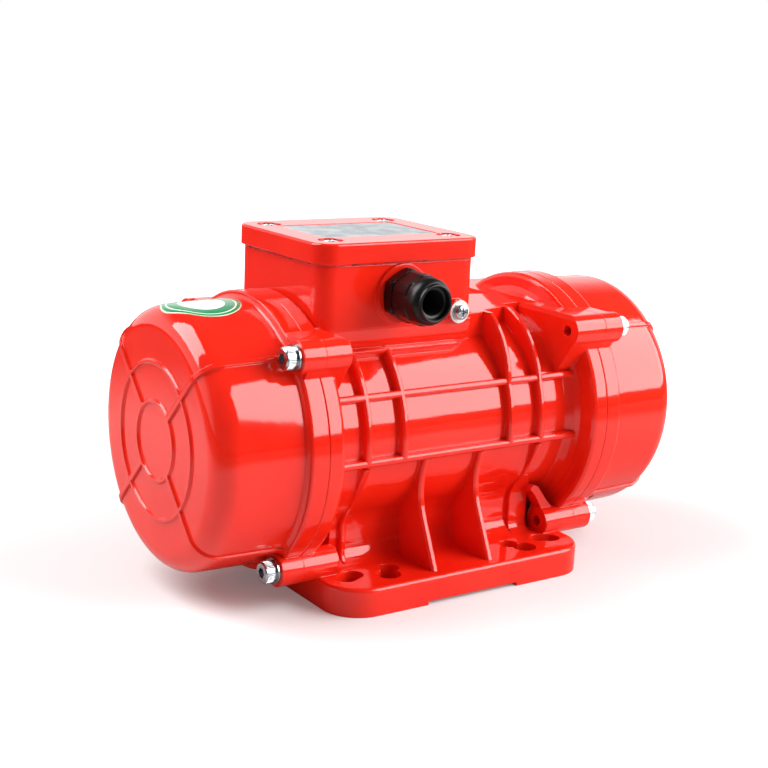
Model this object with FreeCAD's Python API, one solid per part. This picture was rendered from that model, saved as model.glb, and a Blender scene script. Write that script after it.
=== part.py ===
import FreeCAD, Part
import math
import os

V = FreeCAD.Vector

# Vibration motor (rotary electric exciter) on a multi-hole foot.
# Frame: X runs along the shaft, +Z is up, the origin is the centre of the foot's
# bolt pattern on the mounting plane. Millimetres throughout.

# ---- driving dimensions -------------------------------------------------
AXIS_Z = 82.0            # shaft height above the mounting plane
BARREL_R = 56.0          # outside of the cast stator barrel
BORE_R = 48.0            # stator bore of the barrel
RIB_R = 60.6             # crest of the ribs round the barrel
RIB_T = 3.6              # thickness of a cast rib
RIB_EDGE = 0.9           # bevel along a rib's crest
FLANGE_R = 72.7          # body flange and cover flange
FLANGE_IN = 80.0         # inner face of a body flange
COLLAR_X = 73.0          # where the barrel starts to swell into the flange
PARTING = 89.4           # joint plane between body flange and end cover
COVER_R = 67.9           # cylindrical part of an end cover
COVER_STEP = 99.3        # where the cover flange steps down
COVER_END = 146.9        # flat end face of a cover
COVER_WALL = 4.0
COVER_ROUND = 12.0       # rounded rim of an end cover

FOOT_X = 80.8            # half length of the foot plate
FOOT_Y = 77.0            # half width of the foot plate
FOOT_T = 15.0
FOOT_CORNER = 20.0
FOOT_RELIEF_X = 29.0     # half length of the relief between the two pads
FOOT_RELIEF = 2.0
NECK_X = 65.0            # neck that carries the barrel on the foot
NECK_Y = 36.0
NECK_COVE = 14.0         # cove between barrel and neck
FOOT_COVE = 9.0          # cove between neck and foot
LEG_Y = 38.8             # crest of the end ribs where they run down the neck
LEG_X0, LEG_X1 = 52.2, 64.5   # broad leg beside the right-hand boss

# foot holes: centre x, centre y and radius, repeated in all four quadrants
FOOT_HOLES = ((45.0, 62.5, 6.5), (40.0, 55.0, 5.5), (62.0, 55.0, 5.5), (67.5, 57.5, 5.5))
SLOT_ENDS = FOOT_HOLES[2:]   # these two run into one another as a slot

# end cover screws: y and height of the upper and the lower pair
UPPER_Y, UPPER_Z = 58.0, AXIS_Z + 50.85
LOWER_Y, LOWER_Z = 44.0, AXIS_Z - 61.6
BOSS_R = 8.5
BOSS_BACK = 68.7         # rear face of a screw boss
LEFT_UPPER_BACK = 75.0   # the upper bosses of the left end are shorter
BRIDGE_TOP = UPPER_Z + BOSS_R   # flat top between the two upper bosses
EAR_FACE = 101.8         # front face of a cover ear
SCREW_R = 3.0            # M6
SCREW_HEAD_R, SCREW_HEAD_H = 5.4, 6.0
SCREW_END = 76.5
WASHER_R, WASHER_T = 7.0, 1.6

RING_RIBS = (-36.0, 33.0)    # ribs that end at the lower lengthwise rib
END_RIBS = (-58.0, 54.0)     # ribs that run on down the neck
GUSSETS = (-21.0, 15.0)
GUSSET_T = 3.8
LONG_RIB_ANGLES = (25.5, -7.5)
LEDGE_ANGLE = 50.0
LEDGE_END = 8.0

BOX_CX = -31.2           # terminal box centre along the motor
BOX_HX, BOX_HY = 48.0, 42.2
BOX_CORNER = 9.0
BOX_WALL = 6.5
BOX_BASE_Z = 140.0       # shoulder where the box walls start
BOX_TOP_Z = 172.5
BOX_FLOOR_Z = 143.0
LID_HX, LID_HY = 50.0, 44.2
LID_CORNER = 11.0
LID_BOTTOM, LID_TOP = 173.5, 183.9
LID_SCREW_X, LID_SCREW_Y = 36.3, 30.7
PLATE_LX, PLATE_LY = 70.0, 46.0
POST_R = 7.0             # posts for the lid screws

TERMINAL_X0, TERMINAL_X1 = -46.0, -4.0
LEAD_X = -55.0           # opening where the winding leads come up
GLAND_X, GLAND_Z = BOX_CX, 156.8
GLAND_FACE = 44.2        # distance of the gland boss face from the middle plane
GLAND_BOSS_R = 15.6
GLAND_HEX = 25.0
GLAND_SEAT = GLAND_FACE + 1.2
GLAND_NUT_START = GLAND_SEAT + 6.3
GLAND_TIP = GLAND_NUT_START + 21.0
CABLE_R = 6.4
EARTH_X, EARTH_Z = 4.4, 145.6

CORE_HALF = 30.0         # half length of the stator stack
CORE_IN = 27.0
ROTOR_R = 26.5
SLOTS = 24
SHAFT_R = 12.5           # bearing seats
BEARING_R = 31.0
BEARING_X0, BEARING_X1 = 70.0, 87.0
BALL_R, BALL_PITCH_R, BALLS = 5.75, 21.875, 7
BALL_PLAY = 0.25
WEIGHT_R = 55.0
WEIGHT_T = 14.0
FIXED_WEIGHT_X = 95.5
OUTER_WEIGHT_X = 111.0
CLAMP_Z = 18.5           # clamp bolt of a weight, above the shaft line
KEY_X0, KEY_X1 = 94.0, 110.5


# ---- helpers --------------------------------------------------------------
def wire(points):
    """Closed wire through points; a tuple ("arc", mid, end) makes a round stretch."""
    edges = []
    first = points[0]
    last = first
    for item in points[1:]:
        if isinstance(item, tuple) and item[0] == "arc":
            edges.append(Part.Arc(last, item[1], item[2]).toShape())
            last = item[2]
        else:
            edges.append(Part.LineSegment(last, item).toShape())
            last = item
    if last.distanceToPoint(first) > 1e-6:
        edges.append(Part.LineSegment(last, first).toShape())
    return Part.Wire(edges)


def prism(points, direction):
    return Part.Face(wire(points)).extrude(direction)


def section_x(outline, x0, x1):
    """Prism along X from an outline of (y, z) places."""
    points = [place_yz(item, x0) for item in outline]
    return prism(points, V(x1 - x0, 0, 0))


def place_yz(item, x):
    if item[0] == "arc":
        return ("arc", V(x, *item[1]), V(x, *item[2]))
    return V(x, *item)


def spun(profile):
    """Solid of revolution about the shaft line from (x, radius) places."""
    points = [place_xr(item) for item in profile]
    return Part.Face(wire(points)).revolve(V(0, 0, AXIS_Z), V(1, 0, 0), 360)


def place_xr(item):
    if item[0] == "arc":
        return ("arc", V(item[1][0], 0, AXIS_Z + item[1][1]), V(item[2][0], 0, AXIS_Z + item[2][1]))
    return V(item[0], 0, AXIS_Z + item[1])


def rod_x(radius, x0, x1, y=0.0, z=AXIS_Z):
    return Part.makeCylinder(radius, x1 - x0, V(x0, y, z), V(1, 0, 0))


def ring_x(r_out, r_in, x0, x1, y=0.0, z=AXIS_Z):
    return rod_x(r_out, x0, x1, y, z).cut(rod_x(r_in, x0, x1, y, z))


def rod_z(radius, z0, z1, x, y):
    return Part.makeCylinder(radius, z1 - z0, V(x, y, z0), V(0, 0, 1))


def rod_y(radius, y0, y1, x, z):
    """Cylinder towards -Y, from distance y0 to distance y1 of the middle plane."""
    return Part.makeCylinder(radius, y1 - y0, V(x, -y0, z), V(0, -1, 0))


def hexagon_y(across_flats, y0, y1, x, z):
    r = across_flats / math.sqrt(3)
    corners = [V(x + r * math.cos(math.radians(60 * i)), -y0, z + r * math.sin(math.radians(60 * i)))
               for i in range(6)]
    return prism(corners, V(0, y0 - y1, 0))


def hexagon_x(across_flats, x0, x1, y, z):
    r = across_flats / math.sqrt(3)
    corners = [V(x0, y + r * math.cos(math.radians(60 * i)), z + r * math.sin(math.radians(60 * i)))
               for i in range(6)]
    return prism(corners, V(x1 - x0, 0, 0))


def rounded_block(hx, hy, radius, z0, z1, cx=0.0, cy=0.0):
    block = Part.makeBox(2 * hx, 2 * hy, z1 - z0, V(cx - hx, cy - hy, z0))
    upright = [e for e in block.Edges if abs(e.BoundBox.ZLength - (z1 - z0)) < 1e-6]
    return block.makeFillet(radius, upright)


def fused(shapes):
    return shapes[0].multiFuse(shapes[1:]).removeSplitter()


def mirrored_y(shape):
    return shape.mirror(V(0, 0, 0), V(0, 1, 0))


def mirrored_x(shape):
    return shape.mirror(V(0, 0, 0), V(1, 0, 0))


def turned(shape, degrees):
    """Copy of a shape turned about the shaft line."""
    copy = shape.copy()
    copy.rotate(V(0, 0, AXIS_Z), V(1, 0, 0), degrees)
    return copy


def screw_places():
    """The four cover screws of one end, as (y, z)."""
    return [(side * y, z) for y, z in ((UPPER_Y, UPPER_Z), (LOWER_Y, LOWER_Z)) for side in (-1, 1)]


def lid_screw_places():
    return [(BOX_CX + sx * LID_SCREW_X, sy * LID_SCREW_Y) for sx in (-1, 1) for sy in (-1, 1)]


def export(name, shape):
    shape.exportStep("parts/" + name + ".step")


# ---- cast motor body --------------------------------------------------------
def both_sides(half):
    """Closed outline from the (y, z) places of its -Y half, given as distances from the middle."""
    near = [flipped(item) for item in half]
    far = []
    ends = [item if item[0] != "arc" else item[2] for item in half]
    for i in range(len(half) - 1, -1, -1):
        far.append(ends[i] if i == len(half) - 1 or half[i + 1][0] != "arc"
                   else ("arc", half[i + 1][1], ends[i]))
    return near + far


def flipped(item):
    if item[0] == "arc":
        return ("arc", (-item[1][0], item[1][1]), (-item[2][0], item[2][1]))
    return (-item[0], item[1])


def cove(radius, half, blend):
    """Arc that leads from a circle about the shaft into an upright wall: start, middle, end."""
    drop = math.sqrt((radius + blend) ** 2 - (half + blend) ** 2)
    cy, cz = half + blend, AXIS_Z - drop
    share = radius / (radius + blend)
    top, low = (cy * share, AXIS_Z - drop * share), (half, cz)
    my, mz = (top[0] + low[0]) / 2 - cy, (top[1] + low[1]) / 2 - cz
    reach = blend / math.hypot(my, mz)
    return top, (cy + my * reach, cz + mz * reach), low


def foot_cove(half, radius):
    """Arc from an upright wall out to the top of the foot."""
    k = radius * (1 - math.cos(math.radians(45)))
    return (half, FOOT_T + radius), ("arc", (half + k, FOOT_T + k), (half + radius, FOOT_T))


def foot():
    """Foot plate with rounded upper rim."""
    plate = rounded_block(FOOT_X, FOOT_Y, FOOT_CORNER, 0, FOOT_T)
    rim = [e for e in plate.Edges if e.BoundBox.ZMin > FOOT_T - 0.01]
    return plate.makeFillet(2.0, rim)


def neck():
    """Neck with coves to the barrel and to the foot."""
    top, middle, low = cove(BARREL_R, NECK_Y, NECK_COVE)
    wall_end, flare = foot_cove(NECK_Y, FOOT_COVE)
    half = [top, ("arc", middle, low), wall_end, flare, (NECK_Y + FOOT_COVE, FOOT_T - 1)]
    return section_x(both_sides(half), -NECK_X, NECK_X)


def rounded_path(places, radii):
    """Open path along (y, z) places whose inner corners are rounded with the radii."""
    path = [places[0]]
    for before, corner, after, radius in zip(places, places[1:], places[2:], radii):
        into = unit(before, corner)
        out = unit(corner, after)
        turn = math.acos(into[0] * out[0] + into[1] * out[1])
        run = radius * math.tan(turn / 2)
        reach = radius / math.cos(turn / 2) - radius
        inward = unit((0, 0), (out[0] - into[0], out[1] - into[1]))
        path.append((corner[0] - into[0] * run, corner[1] - into[1] * run))
        path.append(("arc", (corner[0] + inward[0] * reach, corner[1] + inward[1] * reach),
                     (corner[0] + out[0] * run, corner[1] + out[1] * run)))
    return path + [places[-1]]


def unit(start, end):
    dy, dz = end[0] - start[0], end[1] - start[1]
    size = math.hypot(dy, dz)
    return dy / size, dz / size


def bevelled_rib(outline, x, thickness):
    """Rib plate from an outline, with both edges of its curved crest bevelled."""
    plate = section_x(outline, x - thickness / 2, x + thickness / 2)
    crest = [e for e in plate.Edges if e.BoundBox.XLength < 1e-6 and not isinstance(e.Curve, Part.Line)]
    return plate.makeChamfer(RIB_EDGE, crest)


def both_of(shape):
    return [shape, mirrored_y(shape)]


def on_circle(radius, angle):
    return radius * math.cos(math.radians(angle)), AXIS_Z + radius * math.sin(math.radians(angle))


def leg_path():
    """Crest of an end rib below the lower lengthwise rib: in along the barrel and down the neck."""
    return rounded_path([(59.65, AXIS_Z - 10.7), (53.4, 59.0), (LEG_Y, 39.2), (LEG_Y, FOOT_T),
                         (LEG_Y + 9, FOOT_T)], (40.0, 14.0, 6.0))


def end_rib(x):
    """Rib round the barrel that runs on down both sides of the neck."""
    leg = leg_path() + [(LEG_Y + 9, FOOT_T - 1), (20, FOOT_T - 1), (20, AXIS_Z - 10.7)]
    pieces = both_of(bevelled_rib(leg, x, RIB_T))
    if x < 0:
        return pieces + [ring_over(x)]
    return pieces + rib_under_deck(x, 21.7, (46.5, 126.3), 26.6)


def ring_rib(x):
    """Rib over the top of the barrel that ends at the lower lengthwise ribs."""
    if x < 0:
        return [ring_over(x)]
    return rib_under_deck(x, 23.6, (47.6, 130.0), 36.0)


def ring_over(x):
    """Rib plate round the upper part of the barrel, down to the lower lengthwise ribs."""
    end = on_circle(RIB_R, LONG_RIB_ANGLES[1])
    return bevelled_rib([flipped(end), ("arc", (0, AXIS_Z + RIB_R), end)], x, RIB_T)


def rib_under_deck(x, angle, shoulder, crown_y):
    """Rib that follows the barrel up to an angle and then swells up to the deck."""
    low, high = on_circle(RIB_R, LONG_RIB_ANGLES[1]), on_circle(RIB_R, angle)
    side = [low, ("arc", on_circle(RIB_R, (LONG_RIB_ANGLES[1] + angle) / 2), high), (30, high[1]), (30, low[1])]
    crown = [(0, high[1]), high, ("arc", shoulder, (crown_y, BRIDGE_TOP)), (0, BRIDGE_TOP)]
    return both_of(bevelled_rib(side, x, RIB_T)) + both_of(bevelled_rib(crown, x, RIB_T))


def gusset(x):
    """Flared web from the lower lengthwise rib down to the rim of the foot, on both sides."""
    crest = rounded_path([(58.9, 72.0), (53.0, 52.0), (71.3, FOOT_T - 0.5)], (35.0,))
    return both_of(bevelled_rib(crest + [(20.0, FOOT_T - 0.5), (20.0, 72.0)], x, GUSSET_T))


def lengthwise_rib(angle, x0, x1):
    """Straight rib along the barrel at an angle above the horizontal, on both sides."""
    h, b = RIB_T / 2, RIB_EDGE
    inner, crest = BORE_R + 3, RIB_R
    outline = [(-inner, AXIS_Z - h), (b - crest, AXIS_Z - h), (-crest, AXIS_Z - h + b),
               (-crest, AXIS_Z + h - b), (b - crest, AXIS_Z + h), (-inner, AXIS_Z + h)]
    bar = turned(section_x(outline, x0, x1), -angle)
    return [bar, mirrored_y(bar)]


def boss_bridge(back):
    """Thick wall with a flat top that joins the two upper screw bosses of an end."""
    half = [(50.0, 107.0), (UPPER_Y + 5.5, UPPER_Z - 6.45), (UPPER_Y, BRIDGE_TOP)]
    outline = [flipped(p) for p in half] + half[::-1]
    wall = section_x(outline, back, PARTING)
    bosses = [rod_x(BOSS_R, back, PARTING, side * UPPER_Y, UPPER_Z) for side in (-1, 1)]
    edge = -UPPER_Y - 12
    bevel = prism([V(back - 1, edge, BRIDGE_TOP + 1), V(back + 3, edge, BRIDGE_TOP + 1),
                   V(back - 1, edge, BRIDGE_TOP - 3)], V(0, -2 * edge, 0))
    return fused([wall] + bosses).cut(bevel)


def flange(side):
    """Round end flange swelling out of the barrel, with its bridge and four screw bosses."""
    disc = spun([(COLLAR_X, 0), (COLLAR_X, BARREL_R - 0.3), (75.2, BARREL_R + 0.8), (77.6, BARREL_R + 2.8),
                 (79.4, BARREL_R + 6.0), (FLANGE_IN, BARREL_R + 9.0), (FLANGE_IN, FLANGE_R - 2.4),
                 (FLANGE_IN + 0.7, FLANGE_R - 0.7), (FLANGE_IN + 2.4, FLANGE_R),
                 (PARTING - 0.4, FLANGE_R), (PARTING, FLANGE_R - 0.4), (PARTING, 0)])
    pieces = [disc, boss_bridge(LEFT_UPPER_BACK if side < 0 else BOSS_BACK)]
    pieces += [rod_x(BOSS_R, BOSS_BACK, PARTING, y, LOWER_Z) for y in (-LOWER_Y, LOWER_Y)]
    if side > 0:
        pieces += boss_legs()
    body = fused(pieces)
    return body if side > 0 else mirrored_x(body)


def boss_legs():
    """Broad leg of the right-hand end and the sloping fin from it to the lower screw boss."""
    x0, x1 = LEG_X0, LEG_X1
    leg = section_x(both_sides([(LEG_Y + 9, 52.0)] + leg_path()[3:] + [(LEG_Y + 9, FOOT_T - 1)]), x0, x1)
    slope = prism([V(x0, -60, 10), V(x1, -60, 10), V(x1, -60, 41.5), V(58, -60, 50), V(x0, -60, 50)], V(0, 120, 0))
    places = [(60.8, 41.8), (62.8, 43.2), (66.0, 42.0), (72.5, 33.4), (78.0, 27.6), (FLANGE_IN + 3, 26.0),
              (FLANGE_IN + 3, 20.0), (BOSS_BACK + 0.3, 20.0), (BOSS_BACK + 0.3, 29.0), (64.5, 36.5), (60.8, 40.5)]
    fin = prism([V(x, -LOWER_Y - 2.5, z) for x, z in places], V(0, 9.0, 0))
    return [leg.common(slope), fin, mirrored_y(fin)]


def terminal_box():
    """Box walls on a shoulder that draws in towards the barrel, and the deck beside them."""
    x1 = BOX_CX + BOX_HX
    base, top = BOX_BASE_Z, BRIDGE_TOP
    walls = rounded_block(BOX_HX, BOX_HY, BOX_CORNER, base, BOX_TOP_Z, BOX_CX)
    half = [(BOX_HY - 1, base + 1), (BOX_HY - 1, base - 1), ("arc", (39.5, 133.0), (35.5, 127.0)),
            (30.0, 124.0)]
    shoulder = section_x(both_sides(half), BOX_CX - BOX_HX + 6, x1 - 2)
    places = [(x1 - 4, 33), (33, 31), (35, 27), (52, 22), (56, 16), (BOSS_BACK + 2, 14)]
    rim = [V(x, -y, 124) for x, y in places] + [V(x, y, 124) for x, y in reversed(places)]
    deck = prism(rim, V(0, 0, top - 124))
    flare = prism([V(x1 - 1, -30, top - 1), V(x1 + 8, -30, top - 1), V(x1 + 8, -30, top),
                   ("arc", V(x1 + 2.5, -30, top + 3), V(x1, -30, top + 11)),
                   V(x1 - 1, -30, top + 11)], V(0, 60, 0))
    gland_boss = rod_y(GLAND_BOSS_R, BOX_HY - 1, GLAND_FACE, GLAND_X, GLAND_Z)
    earth_boss = rod_y(6.5, BOX_HY - 3, GLAND_FACE, EARTH_X, EARTH_Z)
    return [walls, shoulder, deck, flare, gland_boss, earth_boss]


def box_cavity():
    """Wiring space of the terminal box, less the four posts for the lid screws."""
    space = rounded_block(BOX_HX - BOX_WALL, BOX_HY - BOX_WALL, 4.0, BOX_FLOOR_Z, BOX_TOP_Z + 5, BOX_CX)
    posts = [rod_z(POST_R, BOX_FLOOR_Z - 1, BOX_TOP_Z + 6, x, y) for x, y in lid_screw_places()]
    return space.cut(fused(posts))


def slot_middle(sx, sy):
    """Straight part of the slot between its two round ends."""
    (ax, ay, r), (bx, by, _) = SLOT_ENDS
    dx, dy = unit((ax, ay), (bx, by))
    corners = [(ax - dy * r, ay + dx * r), (bx - dy * r, by + dx * r), (bx + dy * r, by - dx * r),
               (ax + dy * r, ay - dx * r)]
    return prism([V(sx * x, sy * y, -1) for x, y in corners], V(0, 0, FOOT_T + 13))


def body_cuts():
    """Everything that is bored or drilled in the casting."""
    cuts = [rod_x(BORE_R, -PARTING - 1, PARTING + 1)]
    for side in (-1, 1):
        x0, x1 = sorted((side * 81.0, side * (PARTING + 1)))
        cuts.append(rod_x(61.0, x0, x1))
        for y, z in screw_places():
            x0, x1 = sorted((side * (BOSS_BACK - 1), side * (PARTING + 1)))
            cuts.append(rod_x(SCREW_R, x0, x1, y, z))
        for y, z in shield_screw_places():
            x0, x1 = sorted((side * 71.0, side * 82.0))
            cuts.append(rod_x(2.5, x0, x1, y, z))
    for sx in (-1, 1):
        for sy in (-1, 1):
            cuts += [rod_z(r, -1, FOOT_T + 12, sx * hx, sy * hy) for hx, hy, r in FOOT_HOLES]
            cuts.append(slot_middle(sx, sy))
    cuts.append(Part.makeBox(2 * FOOT_RELIEF_X, 2 * FOOT_Y + 2, FOOT_RELIEF,
                             V(-FOOT_RELIEF_X, -FOOT_Y - 1, 0)))
    cuts.append(box_cavity())
    for x, y in lid_screw_places():
        cuts.append(rod_z(3.0, 160, BOX_TOP_Z + 1, x, y))
    cuts.append(rod_z(8.0, AXIS_Z + 40, BOX_FLOOR_Z + 1, LEAD_X, 0))
    cuts.append(rod_y(10.0, 30, GLAND_FACE + 1, GLAND_X, GLAND_Z))
    cuts.append(rod_y(2.5, GLAND_FACE - 9, GLAND_FACE + 1, EARTH_X, EARTH_Z))
    return cuts


def motor_body():
    pieces = [foot(), neck(), rod_x(BARREL_R, -FLANGE_IN - 1, FLANGE_IN + 1)]
    for x in RING_RIBS:
        pieces.extend(ring_rib(x))
    for x in END_RIBS:
        pieces.extend(end_rib(x))
    for x in GUSSETS:
        pieces.extend(gusset(x))
    for angle in LONG_RIB_ANGLES:
        pieces.extend(lengthwise_rib(angle, -FLANGE_IN, FLANGE_IN))
    pieces.extend(lengthwise_rib(LEDGE_ANGLE, -FLANGE_IN, LEDGE_END))
    pieces.extend(terminal_box())
    for side in (-1, 1):
        pieces.append(flange(side))
    solid = fused(pieces)
    return solid.cut(fused_cuts(body_cuts()))


def fused_cuts(cuts):
    return cuts[0].multiFuse(cuts[1:])


# ---- end covers ---------------------------------------------------------------
def cover_profile(grow):
    """Outer outline of an end cover, grown evenly, as (x, radius) places."""
    r, end, bend = COVER_R + grow, COVER_END + grow, COVER_ROUND + grow
    c = bend * (1 - math.cos(math.radians(45)))
    return [(COVER_STEP, 0), (COVER_STEP, r + 0.8), (end - bend, r),
            ("arc", (end - c, r - c), (end, r - bend)), (end, 0)]


def cover_ridges():
    """Raised cross that runs over the rounded rim and along the cylinder to the ears."""
    skin = spun(cover_profile(1.1))
    width = 2.6
    slabs = []
    for angle in (45, -45):
        slab = Part.makeBox(COVER_END, 4 * COVER_R, width, V(COVER_STEP - 1, -2 * COVER_R, AXIS_Z - width / 2))
        slabs.append(turned(slab, angle))
    cross = slabs[0].fuse(slabs[1])
    return skin.common(cross).cut(rod_x(20.4, COVER_STEP - 5, COVER_END + 5))


def cover_circle(radius):
    """Raised ring with sloping flanks on the end face."""
    face, h, w = COVER_END, 1.1, 1.3
    return spun([(face - 1, radius - w), (face, radius - w), (face + h, radius - w / 2),
                 (face + h, radius + w / 2), (face, radius + w), (face - 1, radius + w)])


def end_cover(side):
    """Deep cast cap with flange, four ears and embossed end."""
    outer = spun([(PARTING, 0), (PARTING, FLANGE_R - 0.4), (PARTING + 0.4, FLANGE_R), (COVER_STEP - 1.0, FLANGE_R),
                  (COVER_STEP - 0.3, FLANGE_R - 0.3), (COVER_STEP, FLANGE_R - 1.0),
                  (COVER_STEP, COVER_R + 2.8), (COVER_STEP + 0.7, COVER_R + 1.4), (COVER_STEP + 2.4, COVER_R - 0.2),
                  (COVER_STEP + 2.4, 0)])
    pieces = [outer, spun(cover_profile(0)), cover_ridges(), cover_circle(20.4), cover_circle(40.1), ears()]
    solid = fused(pieces)
    inner_r, inner_end = COVER_R - COVER_WALL, COVER_END - COVER_WALL
    bend = COVER_ROUND - COVER_WALL
    c = bend * (1 - math.cos(math.radians(45)))
    hollow = spun([(PARTING - 1, 0), (PARTING - 1, inner_r + 0.5), (inner_end - bend, inner_r),
                   ("arc", (inner_end - c, inner_r - c), (inner_end, inner_r - bend)), (inner_end, 0)])
    solid = solid.cut(hollow).cut(ring_x(68.2, 64.6, PARTING - 1, PARTING + 2.2))
    holes = [rod_x(SCREW_R + 0.4, PARTING - 1, EAR_FACE + 20, y, z) for y, z in screw_places()]
    counter = [rod_x(BOSS_R + 0.5, EAR_FACE, EAR_FACE + 10, y, z) for y, z in screw_places()]
    solid = solid.cut(fused_cuts(holes + counter))
    return solid if side > 0 else mirrored_x(solid)


def ears():
    """Four screw ears of a cover and the flat-topped bridge between the upper two."""
    pieces = [rod_x(BOSS_R, PARTING, EAR_FACE, y, z) for y, z in screw_places()]
    half = [(50.0, 107.0), (UPPER_Y + 5.5, UPPER_Z - 6.45), (UPPER_Y, BRIDGE_TOP)]
    pieces.append(section_x([flipped(p) for p in half] + half[::-1], PARTING, COVER_STEP - 1.0))
    return fused(pieces)


def both_ends(name, shape):
    """Export the +X piece and its mirror image for the -X end."""
    export("right_" + name, shape)
    export("left_" + name, mirrored_x(shape))


def cover_seal():
    return ring_x(68.1, 64.7, PARTING, PARTING + 2.2)


def socket_screw(y, z, head_x, head_r, head_h, shank_r, end_x, socket):
    """Cap screw along X with its head outwards and a hexagon socket."""
    head = rod_x(head_r, head_x - head_h, head_x, y, z)
    rim = [e for e in head.Edges if abs(e.BoundBox.XMin - head_x) < 0.01]
    head = head.makeChamfer(0.6, rim)
    shank = rod_x(shank_r, end_x, head_x - head_h, y, z)
    return head.fuse(shank).removeSplitter().cut(hexagon_x(socket, head_x - 0.55 * head_h, head_x + 1, y, z))


def cover_screws():
    head_x = EAR_FACE + WASHER_T + SCREW_HEAD_H
    screws = [socket_screw(y, z, head_x, SCREW_HEAD_R, SCREW_HEAD_H, SCREW_R, SCREW_END, 5.0)
              for y, z in screw_places()]
    return Part.makeCompound(screws)


def cover_washers():
    return Part.makeCompound([ring_x(WASHER_R, SCREW_R + 0.3, EAR_FACE, EAR_FACE + WASHER_T, y, z)
                              for y, z in screw_places()])


# ---- bearings and shields --------------------------------------------------------
def shield_screw_places():
    radius = 53.0
    return [(radius * math.cos(math.radians(a)), AXIS_Z + radius * math.sin(math.radians(a)))
            for a in (10, 100, 190, 280)]


def bearing_shield():
    """Disc that closes the barrel and carries the ball bearing in its hub."""
    body = spun([(66, 20), (66, 38), (76, 40), (76, 48), (81, 48), (81, 61), (88.9, 61), (88.9, 42),
                 (87, 40), (87, BEARING_R), (BEARING_X0, BEARING_R), (BEARING_X0, 20)])
    holes = [rod_x(2.7, 75, 90, y, z) for y, z in shield_screw_places()]
    caps = [rod_x(2.0, 78, 88, y, z) for y, z in cap_screw_places()]
    return body.cut(fused_cuts(holes + caps))


def shield_screws():
    return Part.makeCompound([socket_screw(y, z, 93.9, 4.25, 5.0, 2.5, 72, 4.0)
                              for y, z in shield_screw_places()])


def cap_screw_places():
    radius = 35.5
    return [(radius * math.cos(math.radians(a)), AXIS_Z + radius * math.sin(math.radians(a)))
            for a in (30, 150, 270)]


def bearing_cap():
    """Thin retaining cap over the outer ring, with a running gap at the shaft."""
    body = spun([(87, 26.5), (87, 39.5), (88.5, 39.5), (90.0, 38), (90.0, 13.0), (88.6, 13.0), (88.6, 26.5)])
    return body.cut(fused_cuts([rod_x(2.2, 86, 91, y, z) for y, z in cap_screw_places()]))


def cap_screws():
    return Part.makeCompound([socket_screw(y, z, 93.0, 3.5, 3.0, 2.0, 79, 2.5)
                              for y, z in cap_screw_places()])


def race_groove(inner):
    """Ball track as an arc between the two shoulders of a ring."""
    mid = (BEARING_X0 + BEARING_X1) / 2
    r = BALL_R + BALL_PLAY
    dr = 4.0
    half = math.sqrt(r * r - dr * dr)
    sign = -1 if inner else 1
    return [(mid - half, BALL_PITCH_R + sign * dr),
            ("arc", (mid, BALL_PITCH_R + sign * r), (mid + half, BALL_PITCH_R + sign * dr))]


def bearing_outer_ring():
    return spun([(BEARING_X0, BEARING_R), (BEARING_X0, BALL_PITCH_R + 4.0)] + race_groove(False)
                + [(BEARING_X1, BALL_PITCH_R + 4.0), (BEARING_X1, BEARING_R)])


def bearing_inner_ring():
    return spun([(BEARING_X0, SHAFT_R), (BEARING_X0, BALL_PITCH_R - 4.0)] + race_groove(True)
                + [(BEARING_X1, BALL_PITCH_R - 4.0), (BEARING_X1, SHAFT_R)])


def ball_places():
    mid = (BEARING_X0 + BEARING_X1) / 2
    angles = [2 * math.pi * (i + 0.5) / BALLS for i in range(BALLS)]
    return [V(mid, BALL_PITCH_R * math.cos(a), AXIS_Z + BALL_PITCH_R * math.sin(a)) for a in angles]


def bearing_balls():
    return Part.makeCompound([Part.makeSphere(BALL_R, p) for p in ball_places()])


def bearing_cage():
    """Riveted cage as one ring with a pocket for each ball."""
    mid = (BEARING_X0 + BEARING_X1) / 2
    ring = ring_x(BALL_PITCH_R + 1.2, BALL_PITCH_R - 1.2, mid - 7.0, mid + 7.0)
    pockets = []
    for p in ball_places():
        outward = V(0, p.y, p.z - AXIS_Z)
        pockets.append(Part.makeCylinder(BALL_R + 0.05, 12, p - outward.multiply(6 / BALL_PITCH_R), outward))
    return ring.cut(fused_cuts(pockets))


# ---- stator ------------------------------------------------------------------------
def slot_bar(index, grow_x):
    """One winding slot, as a tapered bar of the stack's length plus an overhang."""
    outline = [(-1.3, AXIS_Z + 29), (-2.6, AXIS_Z + 40), (2.6, AXIS_Z + 40), (1.3, AXIS_Z + 29)]
    bar = section_x(outline, -CORE_HALF - grow_x, CORE_HALF + grow_x)
    return turned(bar, index * 360.0 / SLOTS)


def slot_mouth(index):
    mouth = Part.makeBox(2 * CORE_HALF, 1.4, 4, V(-CORE_HALF, -0.7, AXIS_Z + 25.5))
    return turned(mouth, index * 360.0 / SLOTS)


def stator_core():
    core = ring_x(BORE_R, CORE_IN, -CORE_HALF, CORE_HALF)
    slots = [slot_bar(i, 1) for i in range(SLOTS)] + [slot_mouth(i) for i in range(SLOTS)]
    return core.cut(fused_cuts(slots))


def stator_winding():
    """Slot conductors with the rounded end turns on both sides of the stack."""
    end_turn = spun([(CORE_HALF, 28.4), (CORE_HALF, 42.6), (CORE_HALF + 11, 43.5), (CORE_HALF + 15, 41.5),
                     (CORE_HALF + 16, 38), (CORE_HALF + 16, 33.5), (CORE_HALF + 14, 30), (CORE_HALF + 10, 28.4)])
    bars = [slot_bar(i, 1) for i in range(SLOTS)]
    return fused([end_turn, mirrored_x(end_turn)] + bars)




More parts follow.
